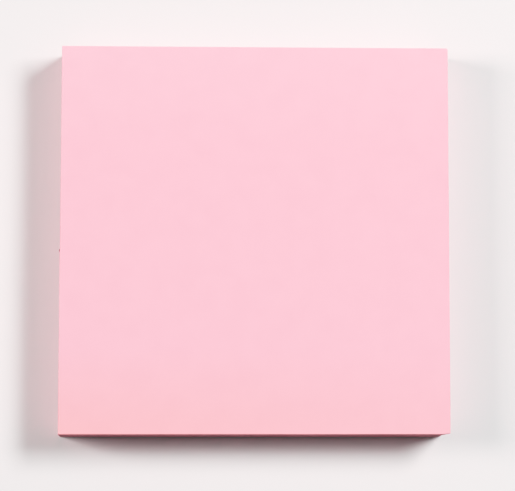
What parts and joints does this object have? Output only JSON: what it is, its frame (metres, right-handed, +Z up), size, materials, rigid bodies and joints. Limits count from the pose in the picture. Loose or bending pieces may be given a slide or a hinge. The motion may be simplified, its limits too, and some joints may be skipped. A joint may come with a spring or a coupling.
{
  "type": "sticky note pad",
  "caption": "Square pad of pale pink sticky notes, glued along one edge on a backing sheet, lying flat for notes to be written on and peeled off.",
  "frame": {"origin": "middle of the underside, the face that the pad rests on", "axes": "+X across the pad to the right, +Y from the free edge to the glued edge, +Z up out of the top note"},
  "size_m": [0.076, 0.076, 0.0102],
  "materials": {
    "note_paper": "uncoated, matt",
    "backing_paper": "release coated, slight sheen"
  },
  "bodies": {
    "root": {"note_stack": "note_paper", "backing_sheet": "backing_paper"}
  },
  "joints": []
}
